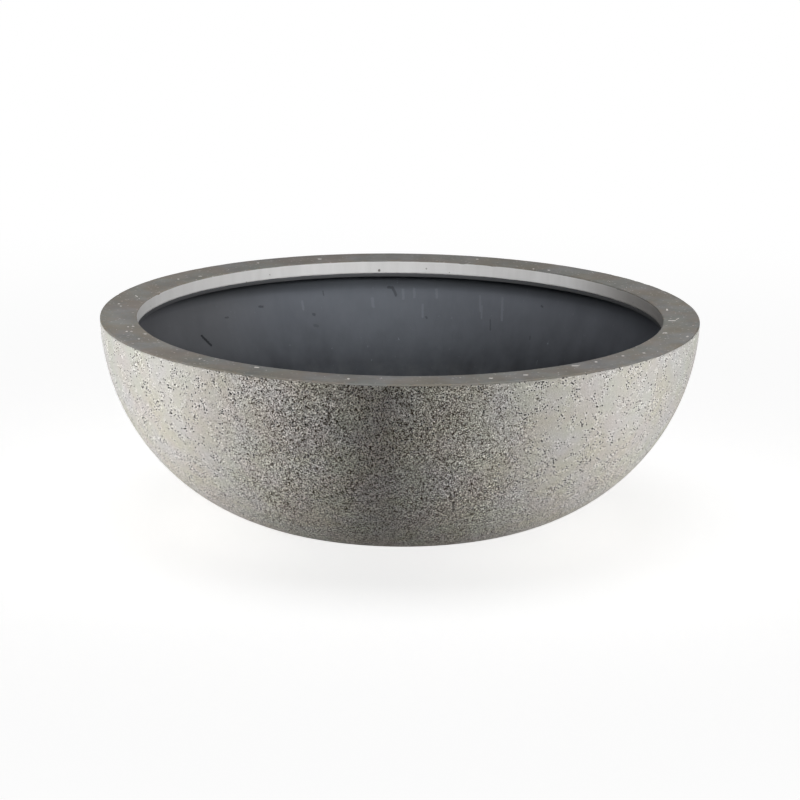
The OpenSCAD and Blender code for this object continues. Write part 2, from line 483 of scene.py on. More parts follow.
def makeGroundRim():  # painted light at its left and right, and painted shade at the front
    look = groundRim
    tree, position = startMaterial("groundRim")
    grain = sand(tree, position, look["grain"])
    patches = mottle(tree, position, *look["patches"])
    spots = mottle(tree, position, *look["spots"])
    skin = blend(tree, times(tree, patches, look["patchShare"]), look["paste"], look["dark"])
    skin = blend(tree, times(tree, spots, look["spotShare"]), skin, look["brown"])
    skin = tint(tree, mottle(tree, position, *look["greenPatches"]), skin, look["green"])
    skin = blend(tree, remap(tree, grain["Shade"], *look["redGrains"]), skin, look["red"])
    skin = blend(tree, remap(tree, grain["Shade"], *look["paleGrains"]), skin, look["pale"])
    place = axes(tree, position)
    # painted light toward the left and right, painted shade toward the front
    skin = tint(tree, remap(tree, place[0], *look["leftRamp"]), skin, look["paintedSideLight"])
    skin = tint(tree, remap(tree, place[0], *look["rightRamp"]), skin, look["paintedSideLight"])
    skin = tint(tree, remap(tree, place[1], *look["frontRamp"]), skin, look["paintedFrontShade"])
    height = times(tree, grain["Height"], look["grainHeight"])
    dress(tree, {"Base Color": skin, "Roughness": remap(tree, patches, 0, 1, *look["roughness"]),
                 "Normal": bump(tree, height, *look["bump"]), "Specular IOR Level": look["gloss"]})


castLip = {
    "paste": colour(217, 0.5),
    "stain": colour(195, 1),
    # painted shade at the ends of the lip
    "paintedLipShade": colour(128, 5),
    "pore": colour(110, 4),
    "rightRamp": (0.175, 0.234, 0, 0.72),
    "leftRamp": (-0.1, -0.17, 0, 0.16),
    "marks": (0.012, 0.2),
    "markSquash": (1, 1, 0.15),
    "markShare": 0.5,
    "grain": 0.0011,
    "poreSpacing": 0.003,
    "poreShare": 0.012,
    "poreStrength": 0.6,
    "pitStart": (-0.0223, 0.2621, 0.2003),
    "pitEnd": (-0.0220, 0.2621, 0.2006),
    "pitWidth": 0.0024,
    "bump": (0.2, 0.0004),
    "roughness": (0.7, 0.85),
    "gloss": 0.3,
}


def makeCastLip():  # smooth and pale, with painted shade at its right end, and darker toward its left end
    look = castLip
    tree, position = startMaterial("castLip")
    grain = sand(tree, position, look["grain"])
    marks = mottle(tree, stretch(tree, position, 1.0, look["markSquash"]), *look["marks"])
    skin = blend(tree, times(tree, marks, look["markShare"]), look["paste"], look["stain"])
    # painted shade at the right end, and darker toward the left end
    right = axes(tree, position)[0]
    paintedLipShadeMask = calc(tree, "ADD", remap(tree, right, *look["rightRamp"]), remap(tree, right, *look["leftRamp"]))
    skin = blend(tree, paintedLipShadeMask, skin, look["paintedLipShade"])
    pores = pinholes(tree, position, look["poreSpacing"], look["poreShare"])["Mask"]
    pit = shortMark(tree, position, look["pitStart"], look["pitEnd"], look["pitWidth"])
    pores = calc(tree, "MAXIMUM", times(tree, pores, look["poreStrength"]), pit)
    skin = blend(tree, pores, skin, look["pore"])
    height = calc(tree, "SUBTRACT", grain["Height"], pores)
    dress(tree, {"Base Color": skin, "Roughness": remap(tree, marks, 0, 1, *look["roughness"]),
                 "Normal": bump(tree, height, *look["bump"]), "Specular IOR Level": look["gloss"]})


plainCement = {
    "paste": colour(178, 4),
    "dark": colour(150, 5),
    "pit": colour(110, 4),
    "patches": (0.02, 0.2),
    "grain": 0.0022,
    "pitGrains": (0.2, 0.1),
    "bump": (0.6, 0.0008),
    "roughness": (0.85, 0.95),
}


def makePlainCement():  # the underside, and the sides that the next layer hides
    look = plainCement
    tree, position = startMaterial("plainCement")
    grain = sand(tree, position, look["grain"])
    patches = mottle(tree, position, *look["patches"])
    skin = blend(tree, patches, look["paste"], look["dark"])
    skin = blend(tree, remap(tree, grain["Shade"], *look["pitGrains"]), skin, look["pit"])
    dress(tree, {"Base Color": skin, "Roughness": remap(tree, patches, 0, 1, *look["roughness"]),
                 "Normal": bump(tree, grain["Height"], *look["bump"])})


darkCoating = {
    "paint": (0.010, 0.010, 0.011, 1),
    # pale bluish paint: where the coating is worn thin, and painted light high up
    "thinPaintAndPaintedLight": (0.132, 0.140, 0.160, 1),
    "scuff": (0.20, 0.215, 0.25, 1),
    "band": (0.062, 0.062, 0.064, 1),
    "black": (0.010, 0.010, 0.011, 1),
    "dust": (0.22, 0.21, 0.19, 1),
    "sheen": (0.80, 0.89, 1.0, 1),
    "dull": (0.88, 0.84, 0.79, 1),
    "paintedLeftShadeRamp": (-0.12, -0.19),  # toward the left: painted shade, darker and warmer
    "brushed": (0.014, 0.2),
    "brushSquash": (1, 1, 0.2),
    "clouds": (0.03, 0.16),
    "brushedWear": 0.6,
    "cloudWear": 0.4,
    "wornThin": 0.18,
    "paintedLightRamp": (0.105, 0.195, 0, 0.82),  # over the height: painted light, paler toward the rim
    "paintedShadowRamp": (0.175, 0.185, 1, 0.3),  # over the height: painted shadow just under the rim
    "scuffSize": 0.006,
    "scuffSquash": (1, 1, 0.5),
    "scuffDetail": 4.0,
    "scuffRoughness": 0.75,
    "scuffRamp": (0.66, 0.78, 0, 0.5),
    "bandFrom": 0.0003,  # over the underside of the rim
    "bandTo": 0.0006,
    "dustPatches": 0.018,
    "dustShare": 0.45,
    "fineNoise": 900.0,
    "brushedRelief": 0.6,
    "fineRelief": 0.4,
    "markDepth": 0.6,
    "bump": (0.35, 0.0005),
    "roughness": 0.5,
    "brushedRougher": 0.12,
    "markRougher": 0.3,
    "gloss": 0.42,
}
# marks that the photograph shows: start angle and height, end angle and height, width, strength
darkCoating["darkMarks"] = [
    (137.5, 0.1456, 135.6, 0.1353, 0.0027, 0.95), (130.0, 0.1589, 129.2, 0.1586, 0.0017, 0.42),
    (121.1, 0.1649, 120.3, 0.1644, 0.0022, 0.49), (108.9, 0.1527, 108.6, 0.152, 0.0026, 0.42),
    (108.8, 0.1415, 108.2, 0.1405, 0.0031, 0.28), (106.4, 0.175, 106.3, 0.171, 0.0014, 0.35),
    (92.5, 0.1775, 91.6, 0.177, 0.0026, 0.42), (91.6, 0.177, 90.9, 0.1695, 0.0026, 0.42),
    (84.4, 0.148, 84.2, 0.147, 0.0019, 0.42), (58.8, 0.1685, 58.6, 0.1678, 0.0022, 0.42),
    (70.2, 0.1488, 69.9, 0.139, 0.0014, 0.35), (60.3, 0.137, 60.2, 0.1345, 0.0017, 0.28)]
darkCoating["paleStreaks"] = [
    (111.1, 0.166, 111.0, 0.158, 0.0023, 0.2), (95.9, 0.166, 95.7, 0.158, 0.0029, 0.18),
    (89.4, 0.175, 89.3, 0.166, 0.0026, 0.23), (87.1, 0.176, 87.0, 0.168, 0.0026, 0.2),
    (85.2, 0.16, 85.1, 0.148, 0.0021, 0.18), (82.4, 0.176, 82.2, 0.168, 0.0026, 0.23),
    (73.0, 0.172, 72.6, 0.157, 0.0021, 0.18), (68.0, 0.172, 67.6, 0.15, 0.0023, 0.18),
    (72.4, 0.162, 72.2, 0.15, 0.0018, 0.16)]


def makeDarkCoating():  # pale high up as painted light, painted shadow just under the rim, painted shade toward the left, paler where the paint is worn thin, with scuffs, streaks and dark marks
    look = darkCoating
    tree, position = startMaterial("darkCoating")
    place = axes(tree, position)
    brushed = mottle(tree, stretch(tree, position, 1.0, look["brushSquash"]), *look["brushed"])
    clouds = mottle(tree, position, *look["clouds"])
    worn = calc(tree, "MULTIPLY_ADD", brushed, look["brushedWear"], times(tree, clouds, look["cloudWear"]))
    # painted light: paler toward the rim
    high = remap(tree, place[2], *look["paintedLightRamp"])
    thinPaintAndPaintedLight = calc(tree, "MULTIPLY_ADD", worn, look["wornThin"], high, clamp=True)
    # painted shadow just under the rim
    thinPaintAndPaintedLight = times(tree, thinPaintAndPaintedLight, remap(tree, place[2], *look["paintedShadowRamp"]))
    skin = blend(tree, thinPaintAndPaintedLight, look["paint"], look["thinPaintAndPaintedLight"])
    # painted shade toward the left
    skin = tint(tree, remap(tree, place[0], *look["paintedLeftShadeRamp"]), skin, look["dull"])
    scuffs = noiseTexture(tree, stretch(tree, position, look["scuffSize"], look["scuffSquash"]), 1.0,
                          look["scuffDetail"], Roughness=look["scuffRoughness"])
    skin = blend(tree, remap(tree, scuffs, *look["scuffRamp"]), skin, look["scuff"])
    band = remap(tree, place[2], underRimZ + look["bandFrom"], underRimZ + look["bandTo"])
    skin = blend(tree, band, skin, look["band"])
    skin = blend(tree, shortMarks(tree, position, coatingInset, look["paleStreaks"]), skin, look["scuff"])
    marks = shortMarks(tree, position, coatingInset, look["darkMarks"])
    skin = blend(tree, marks, skin, look["black"])
    dust = dustMask(tree, position, look["dustPatches"])
    skin = blend(tree, times(tree, dust, look["dustShare"]), skin, look["dust"])
    fine = noiseTexture(tree, position, look["fineNoise"], effects["fineDetail"])
    height = calc(tree, "MULTIPLY_ADD", brushed, look["brushedRelief"], times(tree, fine, look["fineRelief"]))
    height = calc(tree, "SUBTRACT", height, times(tree, marks, look["markDepth"]))
    roughness = calc(tree, "MULTIPLY_ADD", brushed, look["brushedRougher"], look["roughness"])
    roughness = calc(tree, "MULTIPLY_ADD", marks, look["markRougher"], roughness)
    dress(tree, {"Base Color": skin, "Roughness": roughness, "Normal": bump(tree, height, *look["bump"]),
                 "Specular IOR Level": look["gloss"], "Specular Tint": look["sheen"]})


rubber = {
    "dust": (0.2, 0.19, 0.17, 1),
    "dustPatches": 0.004,
    "dustShare": 0.35,
    "clouds": (0.006, 0.25),
    "fineNoise": 1500.0,
    "fineDetail": 3.0,
    "bump": (0.25, 0.0002),
    "roughness": 0.42,
    "dustRougher": 0.3,
}
rubberShades = {  # dark, worn
    "plugRubber": ((0.018, 0.018, 0.020, 1), (0.030, 0.030, 0.032, 1)),
    "padRubber": ((0.030, 0.030, 0.030, 1), (0.050, 0.050, 0.048, 1)),
}


def makeRubbers():
    for name, (dark, worn) in rubberShades.items():
        tree, position = startMaterial(name)
        dust = dustMask(tree, position, rubber["dustPatches"])
        skin = blend(tree, mottle(tree, position, *rubber["clouds"]), dark, worn)
        skin = blend(tree, times(tree, dust, rubber["dustShare"]), skin, rubber["dust"])
        fine = noiseTexture(tree, position, rubber["fineNoise"], rubber["fineDetail"])
        roughness = calc(tree, "MULTIPLY_ADD", dust, rubber["dustRougher"], rubber["roughness"])
        dress(tree, {"Base Color": skin, "Roughness": roughness,
                     "Normal": bump(tree, fine, *rubber["bump"])})


glassFibre = {
    "pale": colour(226, 4),
    "grey": colour(196, 8),
    "streaks": (0.0012, 0.2),
    "roughness": (0.4, 0.6),
}


def makeGlassFibre():
    tree, position = startMaterial("glassFibre")
    streaks = mottle(tree, position, *glassFibre["streaks"])
    dress(tree, {"Base Color": blend(tree, streaks, glassFibre["pale"], glassFibre["grey"]),
                 "Roughness": remap(tree, streaks, 0, 1, *glassFibre["roughness"])})


for makeEffect in (makeSandGrain, makeMottle, makePores, makeDust, makeShortMark):
    makeEffect()
for makeMaterial in (makeSandyWall, makeGroundRim, makeCastLip, makePlainCement, makeDarkCoating,
                     makeGlassFibre, makeRubbers):
    makeMaterial()
print("materials made:", len(bpy.data.materials))

# The cast wall. Waves are given as their share and size. A pit goes down in steps, with a share of its
# radius and a share of its depth at each.
wall = {
    "columns": 600,
    "rows": 100,
    "underRows": 6,
    "hiddenRows": 24,
    "footEdge": 0.002,
    "unevenness": 0.00022,
    "waves": ((0.6, 0.07), (0.4, 0.018)),
    "edgeRadius": 0.0012,
    "edgeWear": 0.0007,
    "pits": 190,
    "pitRadius": (0.0006, 0.0017),
    "pitDepth": (0.7, 1.3),
    "pitRagged": (0.85, 1.15),
    "pitSteps": ((1.0, 0.0), (0.8, 0.55), (0.42, 0.95)),
    "pitTilt": 1.3,
    "pitMargin": 3,  # rows without pits at the foot and the rim
    "seed": 4,
    # angle and height of the larger pits in the photograph
    "seenPits": [(-55.4, 0.0858), (-63.8, 0.1895), (-40.3, 0.1287), (-114.4, 0.163), (-120.2, 0.1443),
                 (-140.0, 0.1524), (-131.4, 0.1009)],
    "seenPitRadius": 0.0016,
}
seamZ = rimZ - wall["edgeRadius"] - wall["edgeWear"]


def castShift(angle, z):  # how far the cast wall lies inside its nominal arc
    x, y = math.cos(angle) * bowl["rimRadius"], math.sin(angle) * bowl["rimRadius"]
    wave = sum(share * swell(x, y, z, size) for share, size in wall["waves"])
    return wall["unevenness"] * (1 + wave) / 2


def wallPlace(row, angle):
    part, radius, z = row
    if part != "outside":
        return radius, z
    return radius - castShift(angle, z), z


def wallSection():
    facing, grown = bowl["facing"], bowl["facing"] * (math.sqrt(2) - 1)
    recess, slope = bowl["recessRadius"], bowl["recessDepth"]
    rows = flatRows(bowl["drainRadius"], recess, ceilingZ, wall["underRows"], "under")
    rows += flatRows(recess + slope, bowl["baseRadius"] - wall["footEdge"], baseZ, wall["underRows"], "under")
    rows += wallRows(0, baseZ, seamZ, wall["rows"], "outside")[:-1]
    rows += [("inside", wallRadius(seamZ) - castShift(0, seamZ), seamZ)]
    rows += wallRows(facing, seamZ, baseZ + facing, wall["hiddenRows"], "inside")
    inner = [(recess + slope + grown, baseZ + facing), (recess + grown, ceilingZ + facing),
             (bowl["drainRadius"], ceilingZ + facing)]
    return rows + [("inside", radius, z) for radius, z in inner]


def pitPlaces(rows, rng):  # row, column and radius of each pit
    outside = [i for i, row in enumerate(rows) if row[0] == "outside"]
    smallest, largest = wall["pitRadius"]
    first, last = outside[wall["pitMargin"]], outside[-wall["pitMargin"]]
    places = []
    for angle, height in wall["seenPits"]:
        nearest = min(outside, key=lambda i: abs(rows[i][2] - height))
        places.append((nearest, round(angle % 360 / 360 * wall["columns"]), wall["seenPitRadius"]))
    for _ in range(wall["pits"]):
        places.append((rng.randrange(first, last), rng.randrange(1, wall["columns"] - 1),
                       smallest + (largest - smallest) * rng.random() ** 3))
    return places


def pitWall(mesh, rows):
    # opens round pinholes in blocks of two by two faces, each with a ring of eight corners
    rng = random.Random(wall["seed"])
    count, columns = len(rows), wall["columns"]
    points = [tuple(v.co) for v in mesh.vertices]
    faces = [tuple(p.vertices) for p in mesh.polygons]
    slots = [p.material_index for p in mesh.polygons]
    gone, taken, newFaces, newSlots = set(), set(), [], []
    for i, column, size in pitPlaces(rows, rng):
        block = {(a, b) for a in range(i - 2, i + 3) for b in range(column - 2, column + 3)}
        if block & taken:
            continue
        taken |= block
        ring = [((column + b) % columns) * count + i + a for a, b in
                ((-1, -1), (-1, 0), (-1, 1), (0, 1), (1, 1), (1, 0), (1, -1), (0, -1))]
        centre = column * count + i
        gone |= {(column + b) * count + i + a for a in (-1, 0) for b in (-1, 0)}
        middle = Vector(points[centre])
        inward = -Vector((middle.x, middle.y, (middle.z - arcZ) * wall["pitTilt"])).normalized()
        depth = size * rng.uniform(*wall["pitDepth"])
        loops = [ring]
        for share, sink in wall["pitSteps"]:
            loop = []
            for corner in ring:
                arm = (Vector(points[corner]) - middle).normalized()
                reach = size * share * rng.uniform(*wall["pitRagged"])
                loop.append(len(points))
                points.append(tuple(middle + arm * reach + inward * depth * sink))
            loops.append(loop)
        points[centre] = tuple(middle + inward * depth)
        sides = [(k, (k + 1) % len(ring)) for k in range(len(ring))]
        opened = [(outer[k], outer[n], inner[n], inner[k]) for outer, inner in zip(loops, loops[1:])
                  for k, n in sides]
        opened += [(loops[-1][k], loops[-1][n], centre) for k, n in sides]
        newFaces += opened
        newSlots += [slots[centre]] * len(opened)
    kept = [n for n in range(len(faces)) if n not in gone]
    faces, slots = [faces[n] for n in kept] + newFaces, [slots[n] for n in kept] + newSlots
    return smoothMesh(mesh.name, points, faces, slots, list(mesh.materials))


wallParts = {"under": "plainCement", "outside": "sandyWall", "inside": "plainCement"}
sectionRows = wallSection()
wallMesh = pitWall(turnedMesh("castWall", sectionRows, wall["columns"], wallPlace, wallParts), sectionRows)
castWall = addPiece("castWall", wallMesh, "bowl", "cast_concrete", "concrete_facing")
print("cast wall:", len(wallMesh.polygons), "faces")

# The ground rim with its lip.
rim = {
    "columns": 600,
    "topRows": 12,
    "edgeRows": 4,
    "lipRows": 6,
    "edgeSpace": 0.004,  # from the edges of the flat top to its first and last row
    "sag": 0.00012,
    "sagSize": 0.03,
    "lipUneven": 0.00012,
    "wearSize": 0.02,
    "mouthEdge": 0.0010,
    "mouthWear": 0.0004,
    "pastSeam": 0.0004,  # how far a chip may reach past the seam
    "chips": 26,
    "chipDepth": 0.0011,
    "leastDepth": 0.3,
    "chipWidth": (0.006, 0.016),  # half of it, as an angle
    "outerShare": 0.6,
    "seed": 11,
}
rng = random.Random(rim["seed"])
chips = [(rng.uniform(0, 2 * math.pi), rng.uniform(rim["leastDepth"], 1) * rim["chipDepth"],
          rng.uniform(*rim["chipWidth"]), rng.random() < rim["outerShare"]) for _ in range(rim["chips"])]


def chipAt(angle, outer):
    deepest = 0.0
    for place, depth, width, isOuter in chips:
        away = abs((angle - place + math.pi) % (2 * math.pi) - math.pi) / width
        if isOuter == outer and away < 1:
            deepest = max(deepest, depth * (1 - away ** 2))
    return deepest


def rimPlace(row, angle):  # the second value of a row is a radius, or the turn of an edge in degrees
    part, first, second = row
    x, y = math.cos(angle) * bowl["rimRadius"], math.sin(angle) * bowl["rimRadius"]
    top = rimZ - rim["sag"] * (1 + swell(x, y, first, rim["sagSize"])) / 2
    if part == "outerEdge":
        radius = wall["edgeRadius"] + wall["edgeWear"] * (1 + swell(x, y, 0, rim["wearSize"])) / 2
        radius = min(radius + chipAt(angle, True), rimZ - seamZ + rim["pastSeam"])
        outer = wallRadius(seamZ) - castShift(angle, seamZ)
        turn = math.radians(90 - first)
        return outer - radius * (1 - math.cos(turn)), top - radius * (1 - math.sin(turn))
    if part == "mouthEdge":
        wear = rim["mouthWear"] * (1 + swell(x, y, 1, rim["wearSize"])) / 2
        radius = rim["mouthEdge"] + wear + chipAt(angle, False)
        turn = math.radians(first)
        return mouthRadius + radius * (1 - math.cos(turn)), top - radius * (1 - math.sin(turn))
    if part == "top":
        return first, top
    if part == "lip":
        return first + rim["lipUneven"] * swell(x, y, second, rim["wearSize"]), second
    return first, second


def rimSection():
    facing, space, lipRows = bowl["facing"], rim["edgeSpace"], rim["lipRows"]
    lipHeight = rimZ - space - lipZ
    rows = [("lip", mouthRadius, lipZ + lipHeight * i / lipRows) for i in range(lipRows + 1)]
    rows += cornerRows("mouthEdge", rim["edgeRows"])
    rows += flatRows(mouthRadius + space, bowl["rimRadius"] - space, rimZ, rim["topRows"], "top")
    rows += cornerRows("outerEdge", rim["edgeRows"])
    seam = [(wallRadius(seamZ) - castShift(0, seamZ), seamZ), (wallRadius(seamZ, facing), seamZ),
            (wallRadius(rimZ - facing, facing), rimZ - facing), (mouthRadius + facing, rimZ - facing),
            (mouthRadius + facing, lipZ)]
    return rows + [("seam", radius, z) for radius, z in seam]


rimParts = {"lip": "castLip", "mouthEdge": "groundRim", "top": "groundRim", "outerEdge": "groundRim",
            "seam": "plainCement"}
rimMesh = turnedMesh("groundRim", rimSection(), rim["columns"], rimPlace, rimParts)
rimRing = addPiece("groundRim", rimMesh, "bowl", "cast_concrete", "concrete_facing")
print("ground rim:", len(rimMesh.polygons), "faces")

# The dark coating. It laps over the laminate's edge with a dark band under the lip.
coat = {
    "columns": 520,
    "floorRows": 24,
    "rows": 72,
    "cornerRows": 6,
    "underRows": 6,
    "edgeRows": 4,
    "hiddenRows": 20,
    "joinSpace": 0.003,  # between the rows of the wall and those of the floor or the underside
    "edgeSpace": 0.0005,
    "lumps": 0.00022,
    "lumpSize": 0.05,
    "brushSize": 0.011,
    "brushSquash": 0.4,
    "stillSpace": 0.004,  # level floor round the plug's flange
    "stillFade": 0.012,
    "edgeRadius": 0.0008,
    "proud": 0.00012,
    "lapIn": 0.0002,
    "lapHeights": (-0.0012, 0.0002, 0.0003, 0.00032),  # from the laminate's edge
    "lapZone": 0.001,
    "overlap": 0.0005,
    "lapWaves": (0.09, 0.025),
    "bandUneven": 0.00008,
    "bandSize": 0.04,
    "bandStretch": 40,
}


def coatShift(radius, angle, z):
    x, y = math.cos(angle) * radius, math.sin(angle) * radius
    still = min(1.0, max(0.0, (radius - bowl["plugFlange"] - coat["stillSpace"]) / coat["stillFade"]))
    lumps, brushed = swell(x, y, z, coat["lumpSize"]), swell(x, y, z * coat["brushSquash"], coat["brushSize"])
    return coat["lumps"] * still * (0.5 * lumps + 0.5 * brushed)


def coatPlace(row, angle):
    part, radius, z = row
    shift = coatShift(radius, angle, z)
    if part == "floor":
        return radius, z + shift
    if part == "wall":
        return radius - shift, z + shift * 0.5
    if part == "underRim":
        return radius, z - abs(shift)
    if part == "band":
        x, y = math.cos(angle), math.sin(angle)
        lift = 0.0
        if z > lipZ - coat["lapZone"]:
            wide, narrow = coat["lapWaves"]
            lift = coat["overlap"] * (0.5 * swell(x, y, 0, wide) + 0.5 * swell(x, y, 3, narrow))
        uneven = coat["bandUneven"] * swell(x, y, z * coat["bandStretch"], coat["bandSize"])
        return radius + uneven, z + lift
    return radius, z


def coatSection():
    inset, corner, thickness = coatingInset, bowl["underRimRadius"] - bowl["coating"], bowl["coating"]
    cornerZ = underRimZ - corner
    cornerX = arcX + math.sqrt((arcRadius - inset - corner) ** 2 - (cornerZ - arcZ) ** 2)
    meets = math.atan2(cornerZ - arcZ, cornerX - arcX)
    floorEdge = wallRadius(floorZ, inset)
    rows = flatRows(bowl["drainRadius"], floorEdge - coat["joinSpace"], floorZ, coat["floorRows"], "floor")
    rows += wallRows(inset, floorZ, arcZ + (arcRadius - inset) * math.sin(meets), coat["rows"], "wall")
    for i in range(1, coat["cornerRows"] + 1):
        turn = meets + (math.pi / 2 - meets) * i / coat["cornerRows"]
        rows.append(("wall", cornerX + corner * math.cos(turn), cornerZ + corner * math.sin(turn)))
    edge, proud = coat["edgeRadius"], coat["proud"]
    rows += flatRows(cornerX - coat["joinSpace"], mouthRadius + edge + coat["edgeSpace"], underRimZ,
                     coat["underRows"], "underRim")
    for i in range(coat["edgeRows"] + 1):
        turn = math.radians(270 - 90 * i / coat["edgeRows"])
        rows.append(("band", mouthRadius - proud + edge * (1 + math.cos(turn)),
                     underRimZ + edge * (1 + math.sin(turn))))
    lapOffsets = (-proud, -proud, -proud / 2, coat["lapIn"])
    rows += [("band", mouthRadius + offset, lipZ + up) for offset, up in zip(lapOffsets, coat["lapHeights"])]
    backRadius, backZ = mouthRadius + thickness, underRimZ + thickness
    rows += [("behind", backRadius, lipZ), ("behind", backRadius, backZ), ("behind", cornerX, backZ)]
    rows += wallRows(inset - thickness, cornerZ, floorZ - thickness, coat["hiddenRows"], "behind")
    rows += [("behind", bowl["drainRadius"], floorZ - thickness)]
    return rows


coatParts = dict.fromkeys(("floor", "wall", "underRim", "band", "behind"), "darkCoating")
coatMesh = turnedMesh("darkCoating", coatSection(), coat["columns"], coatPlace, coatParts)
coating = addPiece("darkCoating", coatMesh, "bowl", "inner_coating", "inner_coating")
print("coating:", len(coatMesh.polygons), "faces")

# Chopped glass fibres that show in the ground rim.
fibres = {
    "count": 110,
    "length": (0.0010, 0.0030),
    "shortness": 2.5,
    "width": (0.00035, 0.0007),
    "bend": 0.5,
    "margin": 0.003,
    "sunk": 0.00003,
    "deep": 0.0005,
    "step": 0.0012,
    "taper": 0.45,
    "seenBend": 0.1,
    "seed": 23,
}
# seen in the photograph: angle, distance in from the edge, length, direction in degrees, width
seenFibres = [
    (-1.9, 0.032, 0.008, 0, 0.0024), (-1.0, 0.024, 0.009, 68, 0.001), (7.6, 0.029, 0.009, 90, 0.0013),
    (-14.0, 0.03, 0.003, 10, 0.0032), (-14.6, 0.031, 0.004, 70, 0.0012),
    (-15.8, 0.006, 0.0026, 0, 0.0026), (171.5, 0.0125, 0.0026, 10, 0.0036),
    (173.5, 0.0165, 0.002, 0, 0.003), (165.9, 0.028, 0.002, 80, 0.0014),
    (164.2, 0.024, 0.008, 110, 0.001), (144.7, 0.02, 0.0022, 0, 0.0038),
    (139.6, 0.0275, 0.004, 5, 0.0026), (-163.1, 0.017, 0.0022, 0, 0.004),
    (-162.9, 0.0215, 0.0024, 0, 0.0036), (-167.2, 0.023, 0.0018, 0, 0.0032),
    (-167.5, 0.028, 0.0024, 0, 0.0034), (-155.9, 0.018, 0.0022, 0, 0.0032),
    (-159.8, 0.031, 0.003, 5, 0.0026), (107.9, 0.02, 0.004, 0, 0.0034),
    (121.4, 0.014, 0.0024, 0, 0.0022), (-121.0, 0.028, 0.005, -5, 0.0028),
    (-134.3, 0.021, 0.002, 0, 0.0034), (-100.2, 0.0175, 0.0026, 0, 0.0034),
    (74.0, 0.015, 0.003, -10, 0.0024), (55.7, 0.03, 0.003, 0, 0.003), (59.1, 0.0335, 0.0018, 0, 0.0032),
    (-52.0, 0.0295, 0.007, 5, 0.0026), (-45.9, 0.028, 0.003, 0, 0.0032),
    (-37.9, 0.026, 0.003, 10, 0.0028), (-33.1, 0.017, 0.003, 0, 0.0028),
    (-64.9, 0.0195, 0.005, 0, 0.0028), (-72.3, 0.0175, 0.004, 0, 0.0026)]


def fibreMesh(strands):
    points, faces = [], []
    high, low = rimZ - fibres["sunk"], rimZ - fibres["deep"]
    for angle, inFrom, length, direction, bend, width in strands:
        radius = bowl["rimRadius"] - inFrom
        place = Vector((radius * math.cos(angle), radius * math.sin(angle), 0))
        steps = max(2, round(length / fibres["step"]))
        heading, start = direction - bend / 2, len(points)
        for i in range(steps + 1):
            side = Vector((-math.sin(heading), math.cos(heading), 0)) * width / 2
            taper = fibres["taper"] if i in (0, steps) else 1.0
            for offset, z in ((side, high), (-side, high), (-side, low), (side, low)):
                points.append((place.x + offset.x * taper, place.y + offset.y * taper, z))
            place += Vector((math.cos(heading), math.sin(heading), 0)) * length / steps
            heading += bend / steps
        for i in range(steps):
            a = start + 4 * i
            faces += [(a + k, a + (k + 1) % 4, a + 4 + (k + 1) % 4, a + 4 + k) for k in range(4)]
        last = start + 4 * steps
        faces += [(start + 3, start + 2, start + 1, start), (last, last + 1, last + 2, last + 3)]
    return newMesh("rimFibres", points, faces, [bpy.data.materials["glassFibre"]])


rng = random.Random(fibres["seed"])
strands = [(math.radians(angle), inFrom, length, math.radians(direction), fibres["seenBend"], width)
           for angle, inFrom, length, direction, width in seenFibres]
shortest, longest = fibres["length"]
across = (fibres["margin"], bowl["rimWidth"] - fibres["margin"])
for _ in range(fibres["count"]):
    length = rng.uniform(0, 1) ** fibres["shortness"] * (longest - shortest) + shortest
    strands.append((rng.uniform(0, 2 * math.pi), rng.uniform(*across), length, rng.uniform(0, math.pi),
                    rng.uniform(-fibres["bend"], fibres["bend"]), rng.uniform(*fibres["width"])))
rimFibres = addPiece("rimFibres", fibreMesh(strands), "bowl", "fibre_laminate")
print("fibres:", len(strands))

# What stays as built.
padSides = ("front", "right", "back", "left")
builtNodes = {"rim_core": "plainCement", "fibre_laminate": "plainCement", "drain_plug": "plugRubber"}
builtNodes.update({"pad_" + side: "padRubber" for side in padSides})
for nodeName, materialName in builtNodes.items():
    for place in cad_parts[nodeName].material_slots:
        place.material = bpy.data.materials[materialName]
print("materials placed on built nodes:", len(builtNodes))

# The floor.
ground = {
    "size": 14.0,
    "shade": (0.80, 0.80, 0.80, 1),
    "glow": 0.78,
    "bounce": (0.50, 0.50, 0.50, 1),
    "fadeRamp": (0.45, 1.5),  # over the distance from the middle
}


def seenDirectly(tree):  # 1 for rays of the camera
    return addNode(tree, "LightPath").outputs["Is Camera Ray"]


def mixShader(tree, share, first, second):
    return addNode(tree, "MixShader", {0: share, 1: first.outputs[0], 2: second.outputs[0]})


def makeFloor():
    # white to the eye, with the bowl's shadow kept close to it, and a dull grey for the light that it
    # throws back
    material = bpy.data.materials.new("paleFloor")
    material.use_nodes = True
    tree = material.node_tree
    tree.nodes.remove(tree.nodes["Principled BSDF"])
    away = vectorCalc(tree, "LENGTH", {0: addNode(tree, "TexCoord").outputs["Object"]}, "Value")
    fade = remap(tree, away, *ground["fadeRamp"], way="SMOOTHSTEP")
    lit = addNode(tree, "BsdfDiffuse", {"Color": ground["shade"]})
    glow = addNode(tree, "Emission", {"Strength": ground["glow"]})
    near = addNode(tree, "AddShader", {0: lit.outputs[0], 1: glow.outputs[0]})
    shown = mixShader(tree, fade, near, addNode(tree, "Emission", {"Strength": 1.0}))
    dull = addNode(tree, "BsdfDiffuse", {"Color": ground["bounce"]})
    both = mixShader(tree, seenDirectly(tree), dull, shown)
    below = addNode(tree, "NewGeometry").outputs["Backfacing"]
    oneWay = mixShader(tree, below, both, addNode(tree, "BsdfTransparent"))
    tree.links.new(oneWay.outputs[0], tree.nodes["Material Output"].inputs["Surface"])
    half = ground["size"] / 2
    corners = [(-half, -half, 0), (half, -half, 0), (half, half, 0), (-half, half, 0)]
    floor = newObject("floor", newMesh("floor", corners, [(0, 1, 2, 3)], [material]))
    return floor


studio = {"fill": 0.02, "middle": (0, 0, 0.15), "aim": (0, 0, 0.12)}
